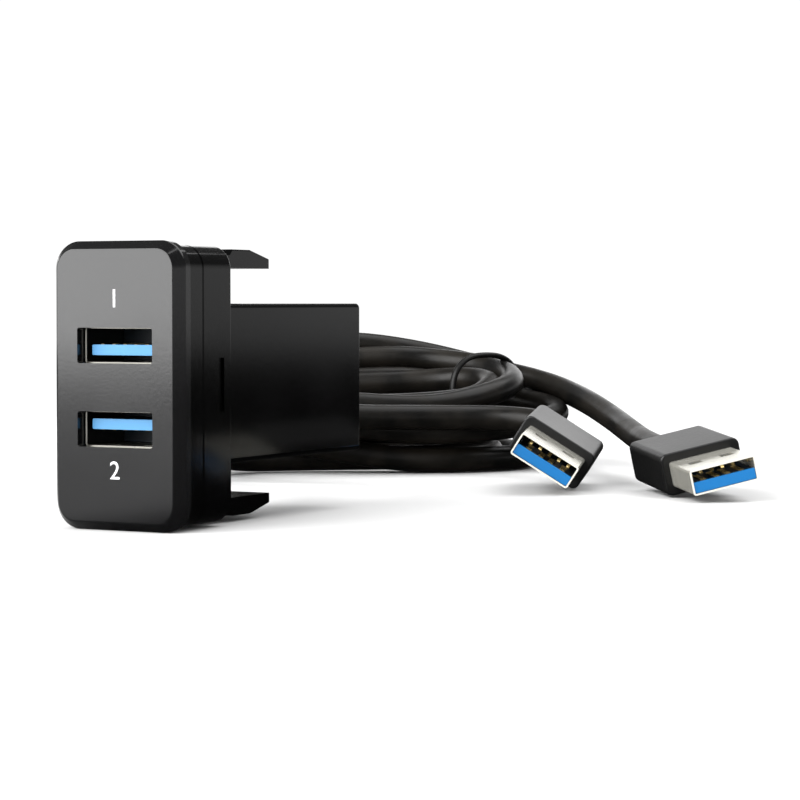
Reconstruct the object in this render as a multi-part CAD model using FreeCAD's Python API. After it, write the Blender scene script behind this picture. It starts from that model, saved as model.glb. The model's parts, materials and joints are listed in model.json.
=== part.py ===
import FreeCAD, Part
import math
import os

# Panel adapter with two USB sockets, and its two cables wound into one tied hank.
# Millimetres. +X to the right of the face plate, +Y to the back, +Z up.
# The origin lies under the middle of the adapter, on the surface that it stands on.

V = FreeCAD.Vector
NEAR = 0.01
OVERRUN = 1.0

# Face plate
PLATE_W = 23.4
PLATE_H = 44.0
PLATE_T = 3.0
PLATE_R = 4.3
BEVEL_IN = 1.3
BEVEL_DEPTH = 1.6
EDGE_ROUND = 0.4
SLOT_W = 13.5
SLOT_H = 5.4
SLOT_R = 0.4
SLOT_WALL = 1.9
PEG_D = 1.8
PEG_LONG = 1.4
PEG_SIDE = 2.9
PEG_END = 4.8

# Collar and clip frame behind the plate
FRAME_INSET = 0.6
FRAME_R = 3.6
FRAME_WALL = 1.6
COLLAR_T = 4.5
COLLAR_WEB = 2.0
LIP_LONG = 1.0
LIP_WALL = 0.8
SEAM = 0.25
CLIP_FRAME_T = 8.3
REAR_WEB = 1.6
CLIP_LONG = 17.7
CLIP_CREST = 11.8
CLIP_THICK = 2.95
CLIP_NECK = 2.0
CLIP_NECK_LONG = 6.4
CLIP_RISE = 0.9
CLIP_TIP = 1.6
CLIP_DROP = 0.4
CLIP_ROUND = 0.25
LATCH_H = 8.2
LATCH_T = 1.6
LATCH_BACK = 2.2
LATCH_REACH = 1.4
LATCH_STEP = 0.3
LATCH_LAND = 0.4
WINDOW_R = 1.0

# Rear box
BOX_INSET = 0.5
BOX_RISE = 0.1
BOX_H = 24.8
BOX_LONG = 43.0
BOX_WALL = 1.5
BOX_ROUND = 0.8
BOX_END_ROUND = 0.7
BOX_INNER_R = 0.5
SPIGOT_INSET = 0.2
SPIGOT_DROP = 1.0
SPIGOT_LONG = 4.5
SPIGOT_WALL = 1.2
SPIGOT_R = 0.9

# Sockets
PORT_DROP = 0.2
PORT_PITCH = 12.7
PORT_W = 13.1
PORT_H = 5.7
PORT_R = 0.7
PORT_LONG = 14.0
SHEET = 0.3
FINGER_W = 2.2
FINGER_SLIT = 0.4
FINGER_FROM = 2.6
FINGER_TO = 8.0
TONGUE_W = 11.1
TONGUE_T = 1.6
TONGUE_R = 0.25
TONGUE_SIDE_GAP = 1.05
TONGUE_BACK = 0.4
PORT_BASE = 4.0
MOULD_SIDE_GAP = 0.9
MOULD_H = 6.6
MOULD_LONG = 11.0
MOULD_TAPER = 4.0
MOULD_R = 0.8
MOULD_END_W = 6.6
MOULD_END_H = 6.2

# Contacts, the same in sockets and plugs
PAD_W = 1.0
PAD_T = 0.2
PAD_X = (-3.5, -1.0, 1.0, 3.5)
FINE_W = 0.6
FINE_X = (-4.0, -2.0, 0.0, 2.0, 4.0)
PORT_PAD_FROM = 3.4
PORT_FINE_FROM = 0.6
PORT_FINE_TO = 2.8
PLUG_PAD_FROM = 0.8
PLUG_PAD_TO = 5.6
SPRING_PROFILE = ((9.3, 0.65), (8.2, 0.85), (7.2, 0.5), (6.6, 0.1))
SPRING_HIGH = 1.4
SPRING_ROOT = 0.3

# Clearances
FIT = 0.1
PRESS = 0.05

# Cables, their boots and the hank
CABLE_D = 5.0
BOOT_D = 8.0
BOOT_END_D = 6.4
BOOT_OUT = 8.0
BOOT_NECK_D = 7.0
BOOT_FLANGE_D = 8.4
BOOT_FLANGE_T = 1.2
BOOT_RINGS = 3
BOOT_RING_AT = 0.7
BOOT_RING_SHARE = 0.4
BOOT_GROOVE = 0.5
CABLE_LEAD = 12.6
PITCH = 5.2
LAYERS = 3
RING_OUT = 21.0
HANK_HALF = 23.2
HANK_X = -48.6
HANK_Y = 114.7
HANK_TURN = 27.4
HANK_SLOPE = 0.165
HANK_FRONT_Z = 3.1
HANK_CHAMFER = 1.6
GROOVE = 0.1

# Wire tie
TIE_D = 1.3
TIE_LEFT = (31.0, -2.0)
TIE_RIGHT = (46.4, 7.0)
TIE_LOW = 6.5
TIE_HIGH = 23.4
TIE_ROUND = 6.5
TIE_TAIL = 5.0
TIE_SPREAD = 0.16

# Plugs
PLUG_W = 12.0
PLUG_H = 4.5
PLUG_R = 0.5
PLUG_OUT = 11.75
PLUG_IN = 3.0
WINDOW_W = 2.4
WINDOW_L = 2.0
WINDOW_AT = 5.2
WINDOW_X = 2.9
INSERT_T = 1.9
INSERT_BACK = 0.3
INSERT_WALL = 3.6
INSERT_R = 0.2
GRIP_W = 14.8
GRIP_T = 7.6
GRIP_LONG = 20.0
GRIP_ROUND = 1.3
GRIP_END_ROUND = 0.9
GRIP_FRONT_ROUND = 0.4
PLUG_PLACES = {
    1: {"tip": (28.7, 65.2, 6.3), "yaw": -72.3, "pitch": -3.8, "roll": -32.3},
    2: {"tip": (63.0, 64.5, 4.75), "yaw": -51.1, "pitch": -3.7, "roll": 13.1},
}

# Routes in the hank's own frame: u along it, v away from the face plate, z up.
# Each runs between the socket's boot and the hank, or between the hank and the plug.
ROUTE_IN = {
    1: [(12.6, -67.4, 26.8), (4.6, -56.8, 22.6), (-5.6, -50.4, 17.2), (-16.0, -44.6, 11.8),
        (-19.2, -33.2, 7.2), (-13.6, -21.8, 4.5), (-1.2, -15.9, 3.4), (13.0, -15.8, 3.1)],
    2: [(12.6, -67.6, 14.0), (4.4, -57.2, 10.4), (-8.0, -50.0, 7.2), (-22.0, -43.0, 4.6),
        (-35.0, -33.0, 3.2), (-42.8, -19.0, 3.0), (-44.2, -3.0, 3.1)],
}
ROUTE_OUT = {
    1: [(-38.6, 5.0, 18.4), (-38.8, -8.0, 22.2), (-32.6, -20.6, 23.8), (-21.0, -28.0, 20.4),
        (-7.0, -29.2, 16.6), (9.0, -28.2, 13.6), (24.5, -26.4, 12.1), (39.8, -25.2, 11.8),
        (48.5, -30.0, 10.9)],
    2: [(-22.0, 21.0, 20.4), (-7.0, 22.6, 23.2), (9.0, 25.0, 26.0), (25.0, 27.4, 23.4), (40.0, 25.0, 19.8),
        (51.5, 14.0, 17.3), (58.5, -2.0, 14.3), (63.0, -20.0, 11.2), (65.8, -38.0, 8.7)],
}
PLUG_LEAD = {1: 10.0, 2: 14.0}
ARC_SHARE = 0.45

# Places worked out from the sizes above
DEPTH = PLATE_T + COLLAR_T + CLIP_FRAME_T + BOX_LONG
Y_FRONT = -DEPTH / 2
Y_PLATE = Y_FRONT + PLATE_T
Y_COLLAR = Y_PLATE + COLLAR_T
Y_FRAME = Y_COLLAR + CLIP_FRAME_T
Y_REAR = Y_FRAME + BOX_LONG
Z_MID = PLATE_H / 2
BOX_MID = Z_MID + BOX_RISE
FRAME_W = PLATE_W - 2 * FRAME_INSET
FRAME_H = PLATE_H - 2 * FRAME_INSET
PEG_X = FRAME_W / 2 - PEG_SIDE
PEG_Z = FRAME_H / 2 - PEG_END
CLIP_W = FRAME_W - 2 * FRAME_R
BOX_W = FRAME_W - 2 * BOX_INSET
SPIGOT_W = FRAME_W - 2 * (FRAME_WALL + SPIGOT_INSET)
SPIGOT_H = BOX_H - 2 * SPIGOT_DROP
MOULD_W = SPIGOT_W - 2 * (SPIGOT_WALL + MOULD_SIDE_GAP)
PORT_MID = Z_MID - PORT_DROP
PORT_Z = {1: PORT_MID + PORT_PITCH / 2, 2: PORT_MID - PORT_PITCH / 2}
TONGUE_SIDE = {1: -1, 2: 1}
Y_PORT = Y_FRONT + SLOT_WALL
Y_MOULD = Y_PORT + PORT_LONG
Y_LEAD = Y_MOULD + MOULD_LONG
Y_BOOT = Y_REAR - BOX_WALL - BOOT_FLANGE_T
Y_EXIT = Y_REAR + BOOT_OUT
RING_IN = RING_OUT - PITCH


def rect_wire(width, height, radius, y, mid_z):
    """Rounded rectangle in a plane across Y, as one closed wire."""
    a = width / 2 - radius
    b = height / 2 - radius
    edges = []
    for sx, sz, start in ((1, 1, 0), (-1, 1, 90), (-1, -1, 180), (1, -1, 270)):
        centre = V(sx * a, y, mid_z + sz * b)
        ends = []
        for turn in (0, 45, 90):
            t = math.radians(start + turn)
            ends.append(centre + V(radius * math.cos(t), 0, radius * math.sin(t)))
        edges.append(Part.Arc(*ends).toShape())
    ring = []
    for i, arc in enumerate(edges):
        after = edges[(i + 1) % 4]
        ring.append(arc)
        ring.append(Part.LineSegment(arc.Vertexes[1].Point, after.Vertexes[0].Point).toShape())
    return Part.Wire(ring)


def rect_block(width, height, radius, y0, y1, mid_z=0.0):
    """Solid with a rounded rectangle as its section, from y0 back to y1."""
    face = Part.Face(rect_wire(width, height, radius, y0, mid_z))
    return face.extrude(V(0, y1 - y0, 0))


def box(x0, x1, y0, y1, z0, z1):
    return Part.makeBox(x1 - x0, y1 - y0, z1 - z0, V(x0, y0, z0))


def rod(radius, y0, y1, x, z):
    return Part.makeCylinder(radius, y1 - y0, V(x, y0, z), V(0, 1, 0))


def edges_at(shape, y):
    """Edges that lie wholly in the plane across Y at y."""
    found = []
    for edge in shape.Edges:
        bound = edge.BoundBox
        if abs(bound.YMin - y) < NEAR and abs(bound.YMax - y) < NEAR:
            found.append(edge)
    return found


def save(name, shape):
    shape.exportStep("parts/" + name + ".step")


def face_plate():
    """Bezel with a sloped rim, two socket slots, pockets for the shells and four pegs."""
    front = rect_wire(PLATE_W - 2 * BEVEL_IN, PLATE_H - 2 * BEVEL_IN, PLATE_R - BEVEL_IN, Y_FRONT, Z_MID)
    rim = rect_wire(PLATE_W, PLATE_H, PLATE_R, Y_FRONT + BEVEL_DEPTH, Z_MID)
    plate = Part.makeLoft([front, rim], True, True)
    plate = plate.fuse(rect_block(PLATE_W, PLATE_H, PLATE_R, Y_FRONT + BEVEL_DEPTH, Y_PLATE, Z_MID))
    plate = plate.removeSplitter()
    rounded = edges_at(plate, Y_FRONT) + edges_at(plate, Y_FRONT + BEVEL_DEPTH)
    plate = plate.makeFillet(EDGE_ROUND, rounded)
    for z in PORT_Z.values():
        plate = plate.cut(rect_block(SLOT_W, SLOT_H, SLOT_R, Y_FRONT - OVERRUN, Y_PLATE + OVERRUN, z))
        pocket = rect_block(PORT_W + 2 * FIT, PORT_H + 2 * FIT, PORT_R, Y_PORT, Y_PLATE + OVERRUN, z)
        plate = plate.cut(pocket)
    for sx in (-1, 1):
        for sz in (-1, 1):
            plate = plate.fuse(rod(PEG_D / 2, Y_PLATE, Y_PLATE + PEG_LONG, sx * PEG_X, Z_MID + sz * PEG_Z))
    return plate.removeSplitter()


def frame_ring(y0, y1, wall):
    """Hollow band with the frame's outline."""
    outer = rect_block(FRAME_W, FRAME_H, FRAME_R, y0, y1, Z_MID)
    inner = rect_block(FRAME_W - 2 * wall, FRAME_H - 2 * wall, FRAME_R - wall,
                       y0 - OVERRUN, y1 + OVERRUN, Z_MID)
    return outer.cut(inner)


def front_collar():
    """Band behind the plate: a web that holds the shells, and a lip into the clip frame."""
    web = rect_block(FRAME_W, FRAME_H, FRAME_R, Y_PLATE, Y_PLATE + COLLAR_WEB, Z_MID)
    collar = web.fuse(frame_ring(Y_PLATE + COLLAR_WEB, Y_COLLAR, FRAME_WALL)).removeSplitter()
    edge = rect_wire(FRAME_W, FRAME_H, FRAME_R, Y_COLLAR, Z_MID)
    collar = collar.makeChamfer(SEAM, outer_edges(collar, Y_COLLAR, edge))
    lip_w = FRAME_W - 2 * FRAME_WALL - 2 * FIT
    lip_h = FRAME_H - 2 * FRAME_WALL - 2 * FIT
    lip_r = FRAME_R - FRAME_WALL
    start = Y_PLATE + COLLAR_WEB
    lip = rect_block(lip_w, lip_h, lip_r, start, Y_COLLAR + LIP_LONG, Z_MID)
    hollow = rect_block(lip_w - 2 * LIP_WALL, lip_h - 2 * LIP_WALL, lip_r - LIP_WALL,
                        start, Y_COLLAR + LIP_LONG + OVERRUN, Z_MID)
    bridge = frame_ring(start, start + LIP_LONG, FRAME_WALL + LIP_WALL)
    collar = collar.fuse(lip.cut(hollow)).fuse(bridge)
    for z in PORT_Z.values():
        window = rect_block(PORT_W + 2 * FIT, PORT_H + 2 * FIT, PORT_R, Y_PLATE - OVERRUN, Y_COLLAR, z)
        collar = collar.cut(window)
    for sx in (-1, 1):
        for sz in (-1, 1):
            hole = rod(PEG_D / 2 + FIT, Y_PLATE - OVERRUN, Y_PLATE + PEG_LONG + FIT,
                       sx * PEG_X, Z_MID + sz * PEG_Z)
            collar = collar.cut(hole)
    return collar.removeSplitter()


def outer_edges(shape, y, outline):
    """Edges of a shape that lie on an outline in the plane across Y."""
    kept = []
    for edge in edges_at(shape, y):
        middle = edge.valueAt((edge.FirstParameter + edge.LastParameter) / 2)
        if outline.distToShape(Part.Vertex(middle))[0] < NEAR:
            kept.append(edge)
    return kept


def clip(side):
    """Barbed spring clip on the top (side 1) or the bottom (side -1) of the clip frame."""
    outer = FRAME_H / 2 - CLIP_DROP
    inner = outer - CLIP_THICK
    neck = inner + CLIP_NECK
    tip = inner + CLIP_TIP
    start = Y_FRAME - REAR_WEB
    profile = [(start, inner), (Y_FRAME + CLIP_LONG, inner), (Y_FRAME + CLIP_LONG, tip),
               (Y_FRAME + CLIP_CREST, outer), (Y_FRAME + CLIP_NECK_LONG, outer),
               (Y_FRAME + CLIP_NECK_LONG - CLIP_RISE, neck), (start, neck)]
    points = [V(-CLIP_W / 2, y, Z_MID + side * z) for y, z in profile]
    face = Part.Face(Part.makePolygon(points + points[:1]))
    arm = face.extrude(V(CLIP_W, 0, 0))
    rounded = [edge for edge in arm.Edges if edge.BoundBox.YMin > Y_FRAME + CLIP_NECK_LONG - NEAR]
    return arm.makeFillet(CLIP_ROUND, rounded)


def clip_frame():
    """Rear band with the window for the box, latch slots in both sides and two clips."""
    body = frame_ring(Y_COLLAR, Y_FRAME, FRAME_WALL)
    web = rect_block(FRAME_W, FRAME_H, FRAME_R, Y_FRAME - REAR_WEB, Y_FRAME, Z_MID)
    body = body.fuse(web).removeSplitter()
    front = rect_wire(FRAME_W, FRAME_H, FRAME_R, Y_COLLAR, Z_MID)
    rear = rect_wire(FRAME_W, FRAME_H, FRAME_R, Y_FRAME, Z_MID)
    body = body.makeChamfer(SEAM, outer_edges(body, Y_COLLAR, front))
    body = body.makeFillet(EDGE_ROUND, outer_edges(body, Y_FRAME, rear))
    for side in (-1, 1):
        body = body.fuse(clip(side))
    window = rect_block(SPIGOT_W + 2 * FIT, SPIGOT_H + 2 * FIT, WINDOW_R,
                        Y_FRAME - REAR_WEB - OVERRUN, Y_FRAME + OVERRUN, BOX_MID)
    body = body.cut(window)
    y0 = Y_FRAME - LATCH_BACK - LATCH_T
    slot = box(-FRAME_W, FRAME_W, y0, y0 + LATCH_T, BOX_MID - LATCH_H / 2, BOX_MID + LATCH_H / 2)
    return body.cut(slot).removeSplitter()


def latch(side):
    """Ramped lug on one side of the box's spigot, which snaps into the frame's slot."""
    y0 = Y_FRAME - LATCH_BACK - LATCH_T + FIT
    y1 = Y_FRAME - LATCH_BACK - FIT
    root = SPIGOT_W / 2 - SPIGOT_WALL / 2
    top = SPIGOT_W / 2 + LATCH_REACH
    low = BOX_MID - LATCH_H / 2 + FIT
    corners = [(root, y0), (SPIGOT_W / 2 + LATCH_STEP, y0), (top, y1 - LATCH_LAND), (top, y1), (root, y1)]
    points = [V(side * x, y, low) for x, y in corners]
    face = Part.Face(Part.makePolygon(points + points[:1]))
    return face.extrude(V(0, 0, LATCH_H - 2 * FIT))


def rear_box():
    """Deep housing with a spigot in front and two bores for the cable boots behind."""
    shell = rect_block(BOX_W, BOX_H, BOX_ROUND, Y_FRAME, Y_REAR, BOX_MID)
    shell = shell.makeFillet(BOX_END_ROUND, edges_at(shell, Y_REAR))
    inner = rect_block(BOX_W - 2 * BOX_WALL, BOX_H - 2 * BOX_WALL, BOX_INNER_R, Y_FRAME + BOX_WALL,
                       Y_REAR - BOX_WALL, BOX_MID)
    shell = shell.cut(inner)
    spigot = rect_block(SPIGOT_W, SPIGOT_H, SPIGOT_R, Y_FRAME - SPIGOT_LONG, Y_FRAME + BOX_WALL, BOX_MID)
    shell = shell.fuse(spigot)
    for side in (-1, 1):
        shell = shell.fuse(latch(side))
    mouth = rect_block(SPIGOT_W - 2 * SPIGOT_WALL, SPIGOT_H - 2 * SPIGOT_WALL, BOX_INNER_R,
                       Y_FRAME - SPIGOT_LONG - OVERRUN, Y_FRAME + BOX_WALL + OVERRUN, BOX_MID)
    shell = shell.cut(mouth)
    for z in PORT_Z.values():
        bore = rod(BOOT_NECK_D / 2 + PRESS, Y_REAR - BOX_WALL - OVERRUN, Y_REAR + OVERRUN, 0, z)
        shell = shell.cut(bore)
    return shell.removeSplitter()


def port_shell(z):
    """Folded steel sleeve of a socket, with two spring fingers in each broad wall."""
    sleeve = rect_block(PORT_W, PORT_H, PORT_R, Y_PORT, Y_MOULD, z)
    sleeve = sleeve.cut(rect_block(PORT_W - 2 * SHEET, PORT_H - 2 * SHEET, PORT_R - SHEET,
                                   Y_PORT - OVERRUN, Y_MOULD + OVERRUN, z))
    half = FINGER_W / 2
    wide = half + FINGER_SLIT
    y0 = Y_PORT + FINGER_FROM
    y1 = Y_PORT + FINGER_TO
    for x in (-PORT_W / 4, PORT_W / 4):
        cut = box(x - wide, x + wide, y0, y1, z - PORT_H, z + PORT_H)
        keep = box(x - half, x + half, y0 + FINGER_SLIT, y1 + OVERRUN, z - PORT_H, z + PORT_H)
        sleeve = sleeve.cut(cut.cut(keep))
    return sleeve


def port_contacts(z, side):
    """Nine contacts on the broad-gap side of a socket's tongue, as separate strips."""
    wide = tongue_face(z, side)
    tip = Y_PORT + TONGUE_BACK
    strips = []
    for x in PAD_X:
        strips.append(strip(x, PAD_W, tip + PORT_PAD_FROM, Y_MOULD, wide))
    for x in FINE_X:
        strips.append(strip(x, FINE_W, tip + PORT_FINE_FROM, tip + PORT_FINE_TO, wide))
    return strips


def tongue_face(z, side):
    """Height of the tongue's face on its broad-gap side."""
    inner = PORT_H / 2 - SHEET
    return z + side * (inner - TONGUE_SIDE_GAP - TONGUE_T)


def strip(x, width, y0, y1, face_z):
    """Flat contact let in by half its thickness, standing proud by the other half."""
    return box(x - width / 2, x + width / 2, y0, y1, face_z - PAD_T / 2, face_z + PAD_T / 2)


def port_insulator(z, side, contacts):
    """Blue tongue on a base that fills the rear of the sleeve."""
    inner_w = PORT_W - 2 * SHEET - 2 * PRESS
    inner_h = PORT_H - 2 * SHEET - 2 * PRESS
    base = rect_block(inner_w, inner_h, PORT_R - SHEET, Y_MOULD - PORT_BASE, Y_MOULD, z)
    near = tongue_face(z, side)
    mid = near + side * TONGUE_T / 2
    tongue = rect_block(TONGUE_W, TONGUE_T, TONGUE_R, Y_PORT + TONGUE_BACK, Y_MOULD - PORT_BASE / 2, mid)
    body = base.fuse(tongue).removeSplitter()
    for piece in contacts:
        body = body.cut(piece)
    return body


def port_mould(z):
    """Block moulded round the solder joints, drawn in to the cable at its rear."""
    y_taper = Y_LEAD - MOULD_TAPER
    block = rect_block(MOULD_W, MOULD_H, MOULD_R, Y_MOULD, y_taper, z)
    big = rect_wire(MOULD_W, MOULD_H, MOULD_R, y_taper, z)
    small = rect_wire(MOULD_END_W, MOULD_END_H, MOULD_R, Y_LEAD, z)
    return block.fuse(Part.makeLoft([big, small], True, True)).removeSplitter()


def inner_lead(z):
    return rod(CABLE_D / 2, Y_LEAD, Y_BOOT, 0, z)


def boot(z):
    """Soft boot through the rear wall: a flange inside, a neck, and a grooved cone outside."""
    r0 = BOOT_D / 2
    r1 = BOOT_END_D / 2
    flange = rod(BOOT_FLANGE_D / 2, Y_BOOT, Y_BOOT + BOOT_FLANGE_T, 0, z)
    neck = rod(BOOT_NECK_D / 2, Y_BOOT, Y_REAR, 0, z)
    cone = Part.makeCone(r0, r1, BOOT_OUT, V(0, Y_REAR, z), V(0, 1, 0))
    piece = flange.fuse([neck, cone]).removeSplitter()
    step = BOOT_OUT / (BOOT_RINGS + 1)
    width = step * BOOT_RING_SHARE
    for i in range(BOOT_RINGS):
        y = Y_REAR + step * (i + BOOT_RING_AT)
        outer = rod(BOOT_D, y, y + width, 0, z)
        at = r0 + (r1 - r0) * (y + width / 2 - Y_REAR) / BOOT_OUT
        piece = piece.cut(outer.cut(rod(at - BOOT_GROOVE, y - OVERRUN, y + step, 0, z)))
    return piece


def hank_point(point):
    """Place in the part's frame of a point given in the hank's frame."""
    u, v, z = point
    t = math.radians(HANK_TURN)
    return V(HANK_X + u * math.cos(t) - v * math.sin(t), HANK_Y + u * math.sin(t) + v * math.cos(t), z)


def plug_axes(number):
    """Unit vectors of a plug: its width, the way back along it, and its upper side."""
    place = PLUG_PLACES[number]
    yaw = math.radians(place["yaw"])
    pitch = math.radians(place["pitch"])
    roll = math.radians(place["roll"])
    ahead = V(math.cos(yaw) * math.cos(pitch), math.sin(yaw) * math.cos(pitch), math.sin(pitch))
    side = V(0, 0, 1).cross(ahead).normalize()
    up = ahead.cross(side)
    wide = side * math.cos(roll) + up * math.sin(roll)
    top = up * math.cos(roll) - side * math.sin(roll)
    return wide, ahead * -1, top


def plug_placement(number):
    wide, back, top = plug_axes(number)
    tip = V(*PLUG_PLACES[number]["tip"])
    return FreeCAD.Placement(FreeCAD.Matrix(wide.x, back.x, top.x, tip.x, wide.y, back.y, top.y, tip.y,
                                            wide.z, back.z, top.z, tip.z, 0, 0, 0, 1))


def plug_rear(number, beyond=0.0):
    """Centre of a plug's rear face, or a point further back on its axis."""
    back = plug_axes(number)[1]
    return V(*PLUG_PLACES[number]["tip"]) + back * (PLUG_OUT + GRIP_LONG + beyond)


def place_plug(shape, number):
    placed = shape.copy()
    placed.Placement = plug_placement(number)
    return placed


def plug_shell():
    """Folded sleeve of a plug with two windows in each broad wall."""
    end = PLUG_OUT + PLUG_IN
    sleeve = rect_block(PLUG_W, PLUG_H, PLUG_R, 0, end)
    sleeve = sleeve.cut(rect_block(PLUG_W - 2 * SHEET, PLUG_H - 2 * SHEET, PLUG_R - SHEET,
                                   -OVERRUN, end + OVERRUN))
    for x in (-WINDOW_X, WINDOW_X):
        window = box(x - WINDOW_W / 2, x + WINDOW_W / 2, WINDOW_AT, WINDOW_AT + WINDOW_L, -PLUG_H, PLUG_H)
        sleeve = sleeve.cut(window)
    return sleeve


def plug_contacts():
    """Four flat pads in the insert's face and five raised springs behind them."""
    face_z = -(PLUG_H / 2 - SHEET - PRESS) + INSERT_T
    pieces = []
    for x in PAD_X:
        pieces.append(strip(x, PAD_W, INSERT_BACK + PLUG_PAD_FROM, INSERT_BACK + PLUG_PAD_TO, face_z))
    wall = PLUG_OUT + PLUG_IN - INSERT_WALL
    nose = SPRING_PROFILE[-1][0]
    outline = [(nose, -PAD_T / 2), (wall, -PAD_T / 2), (wall, SPRING_HIGH), (wall - SPRING_ROOT, SPRING_HIGH)]
    outline += SPRING_PROFILE
    for x in FINE_X:
        points = [V(x - FINE_W / 2, y, face_z + z) for y, z in outline]
        pieces.append(Part.Face(Part.makePolygon(points + points[:1])).extrude(V(FINE_W, 0, 0)))
    return pieces


def plug_insert(contacts):
    """Blue insert along the plug's lower wall, with a rear wall that fills the sleeve."""
    inner_w = PLUG_W - 2 * SHEET - 2 * PRESS
    inner_h = PLUG_H - 2 * SHEET - 2 * PRESS
    end = PLUG_OUT + PLUG_IN
    low = -inner_h / 2
    blade = rect_block(inner_w, INSERT_T, INSERT_R, INSERT_BACK, end, low + INSERT_T / 2)
    wall = rect_block(inner_w, inner_h, INSERT_R, end - INSERT_WALL, end)
    body = blade.fuse(wall).removeSplitter()
    for piece in contacts:
        body = body.cut(piece)
    return body


def plug_grip():
    """Moulded grip with rounded long edges, closed round the sleeve's rear end."""
    end = PLUG_OUT + GRIP_LONG
    grip = rect_block(GRIP_W, GRIP_T, GRIP_ROUND, PLUG_OUT, end)
    grip = grip.makeFillet(GRIP_END_ROUND, edges_at(grip, end))
    grip = grip.makeFillet(GRIP_FRONT_ROUND, edges_at(grip, PLUG_OUT))
    return grip.cut(rect_block(PLUG_W, PLUG_H, PLUG_R, PLUG_OUT - OVERRUN, PLUG_OUT + PLUG_IN))


def route(number, part):
    """Points of a free stretch, with its first or last runs set by the boot or the plug."""
    if part == "in":
        z = PORT_Z[number]
        points = [V(0, Y_EXIT, z), V(0, Y_EXIT + CABLE_LEAD, z)]
        points += [hank_point(p) for p in ROUTE_IN[number]]
        return points
    points = [hank_point(p) for p in ROUTE_OUT[number]]
    points.append(plug_rear(number, PLUG_LEAD[number]))
    points.append(plug_rear(number))
    return points


def tube(points, radius, name=None):
    """Round tube along straight runs joined by tangent arcs."""
    edges = []
    radii = []
    start = points[0]
    for i in range(1, len(points) - 1):
        before = points[i - 1] - points[i]
        after = points[i + 1] - points[i]
        run = min(before.Length, after.Length)
        turn = math.pi - before.getAngle(after)
        bend = ARC_SHARE * run / math.tan(turn / 2)
        into = points[i] + before.normalize() * (ARC_SHARE * run)
        out = points[i] + after.normalize() * (ARC_SHARE * run)
        half = (before + after).normalize()
        middle = points[i] + half * (bend / math.cos(turn / 2) - bend)
        edges.append(Part.LineSegment(start, into).toShape())
        edges.append(Part.Arc(into, middle, out).toShape())
        start = out
        radii.append(bend)
    edges.append(Part.LineSegment(start, points[-1]).toShape())
    path = Part.Wire(edges)
    first = points[1] - points[0]
    ring = Part.Wire(Part.makeCircle(radius, points[0], first))
    solid = path.makePipeShell([ring], True, False)
    if name:
        ratio = solid.Volume / (math.pi * radius ** 2 * path.Length)
        print(name, "length", round(path.Length, 1), "volume ratio", round(ratio, 4),
              "radii", [round(r, 1) for r in radii])
    return solid


def stadium(half, radius, low, high):
    """Upright prism with a long round-ended outline, in the hank's frame."""
    a = Part.Arc(V(half, -radius, low), V(half + radius, 0, low), V(half, radius, low)).toShape()
    b = Part.Arc(V(-half, radius, low), V(-half - radius, 0, low), V(-half, -radius, low)).toShape()
    top = Part.LineSegment(V(half, radius, low), V(-half, radius, low)).toShape()
    bottom = Part.LineSegment(V(-half, -radius, low), V(half, -radius, low)).toShape()
    return Part.Face(Part.Wire([a, top, b, bottom])).extrude(V(0, 0, high - low))


def hank(radius, grooves):
    """Closed outer form of one cable's turns: a round-ended band that slopes up to the back."""
    reach = RING_OUT + PITCH
    low = HANK_FRONT_Z - PITCH / 2
    high = low + LAYERS * PITCH
    rise = HANK_SLOPE * (reach + RING_OUT)
    dip = HANK_SLOPE * (reach - RING_OUT)
    outer = stadium(HANK_HALF, radius + PITCH / 2, low, high + rise)
    ring = outer.cut(stadium(HANK_HALF, radius - PITCH / 2, low - OVERRUN, high + rise + OVERRUN))
    long = HANK_HALF + reach
    corners = [V(-long, -reach, low), V(-long, reach, low), V(-long, reach, high + rise),
               V(-long, -reach, high - dip)]
    slab = Part.Face(Part.makePolygon(corners + corners[:1])).extrude(V(2 * long, 0, 0))
    ring = ring.common(slab)
    rims = [edge for edge in ring.Edges if edge.BoundBox.ZLength < LAYERS * PITCH - HANK_CHAMFER]
    ring = ring.makeChamfer(HANK_CHAMFER, rims)
    ring.rotate(V(0, 0, 0), V(0, 0, 1), HANK_TURN)
    ring.translate(V(HANK_X, HANK_Y, 0))
    for groove in grooves:
        ring = ring.cut(groove)
    return ring


def wire_tie(radius):
    """Loose loop of wire round the hank's upper right-hand turns, with two short tails."""
    u0, v0 = TIE_LEFT
    u1, v1 = TIE_RIGHT
    width = math.hypot(u1 - u0, v1 - v0)
    height = TIE_HIGH - TIE_LOW
    r = TIE_ROUND

    def at(s, z):
        share = s / width
        return hank_point((u0 + (u1 - u0) * share, v0 + (v1 - v0) * share, TIE_LOW + z))

    edges = []
    corners = []
    for s, z, start in ((width - r, height - r, 0), (r, height - r, 90), (r, r, 180), (width - r, r, 270)):
        turn = [math.radians(start + a) for a in (0, 45, 90)]
        corners.append([at(s + r * math.cos(t), z + r * math.sin(t)) for t in turn])
    for i, three in enumerate(corners):
        edges.append(Part.Arc(*three).toShape())
        edges.append(Part.LineSegment(three[2], corners[(i + 1) % 4][0]).toShape())
    path = Part.Wire(edges)
    start = corners[0][0]
    down = corners[3][2] - start
    ring = Part.Wire(Part.makeCircle(radius, start, down))
    loop = path.makePipeShell([ring], True, False)
    root = at(width, r)
    aside = hank_point((u1 + 1, v1 + 1, 0)) - hank_point((u1, v1, 0))
    for lean in (-TIE_SPREAD, TIE_SPREAD):
        tail = Part.makeCylinder(radius, TIE_TAIL, root, aside.normalize() + V(0, 0, lean))
        loop = loop.fuse(tail)
    return loop.removeSplitter()


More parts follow.
